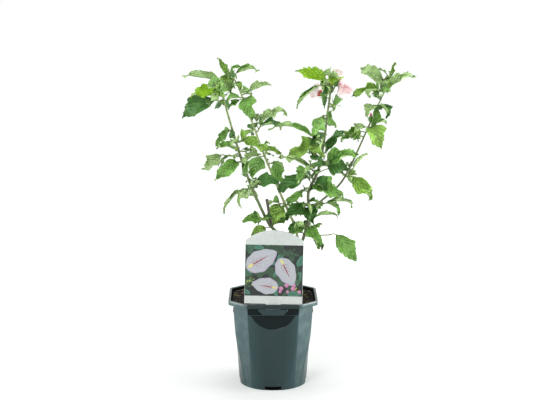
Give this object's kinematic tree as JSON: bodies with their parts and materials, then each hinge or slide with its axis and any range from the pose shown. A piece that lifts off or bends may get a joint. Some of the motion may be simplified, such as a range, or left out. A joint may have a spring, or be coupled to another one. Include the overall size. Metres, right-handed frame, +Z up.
{
  "type": "rose of sharon shrub in a nursery pot",
  "caption": "Young rose of sharon shrub with pink-white blooms, lobed green leaves on slim canes, a picture label and a dark square-to-round nursery pot.",
  "frame": {"origin": "middle of the pot's flat underside", "axes": "+Z up, from the underside to the top of the plant; +X to the right as the picture label is seen; the viewer of the label is on the -Y side"},
  "size_m": [0.4505, 0.3224, 0.6345],
  "materials": {
    "pot_plastic": "dark slate, satin moulded plastic",
    "potting_mix": "moist composted bark and peat with loose fibres",
    "printed_card": "smooth printed plastic card",
    "old_bark": "rough grey-tan bark",
    "young_bark": "fine green-brown bark",
    "leaf": "soft satin leaf",
    "leaf_and_petal": "soft leaf and petal"
  },
  "bodies": {
    "root": {"pot": "pot_plastic", "potting_mix": "potting_mix", "plant_label": "printed_card", "trunk": "old_bark", "cut_stub": "old_bark", "cane_left_outer": "young_bark", "cane_left_inner": "young_bark", "cane_right_inner": "young_bark", "cane_right_outer": "young_bark", "foliage_left_inner_1": "leaf", "foliage_left_inner_2": "leaf", "foliage_left_inner_3": "leaf", "foliage_left_inner_4": "leaf", "foliage_left_inner_5": "leaf", "foliage_left_inner_6": "leaf", "foliage_left_inner_7": "leaf", "foliage_left_inner_8": "leaf", "foliage_left_inner_9": "leaf", "foliage_left_inner_10": "leaf", "foliage_left_outer_1": "leaf", "foliage_left_outer_2": "leaf", "foliage_left_outer_3": "leaf", "foliage_left_outer_4": "leaf", "foliage_left_outer_5": "leaf", "foliage_left_outer_6": "leaf", "foliage_left_outer_7": "leaf", "foliage_left_outer_8": "leaf", "foliage_left_outer_9": "leaf", "foliage_left_outer_10": "leaf", "foliage_left_outer_11": "leaf", "foliage_left_outer_12": "leaf", "foliage_right_inner_1": "leaf", "foliage_right_inner_2": "leaf", "foliage_right_inner_3": "leaf", "foliage_right_inner_4": "leaf", "foliage_right_inner_5": "leaf", "foliage_right_inner_6": "leaf", "foliage_right_inner_7": "leaf", "foliage_right_inner_8": "leaf", "foliage_right_inner_9": "leaf", "foliage_right_inner_10": "leaf", "foliage_right_inner_11": "leaf", "foliage_right_inner_12": "leaf", "foliage_right_inner_13": "leaf", "foliage_right_inner_14": "leaf_and_petal", "foliage_right_inner_15": "leaf_and_petal", "foliage_right_inner_16": "leaf_and_petal", "foliage_right_inner_17": "leaf", "foliage_right_inner_18": "leaf", "foliage_right_outer_1": "leaf", "foliage_right_outer_2": "leaf", "foliage_right_outer_3": "leaf", "foliage_right_outer_4": "leaf", "foliage_right_outer_5": "leaf", "foliage_right_outer_6": "leaf", "foliage_right_outer_7": "leaf", "foliage_right_outer_8": "leaf", "foliage_right_outer_9": "leaf", "foliage_right_outer_10": "leaf", "foliage_right_outer_11": "leaf"}
  },
  "joints": []
}
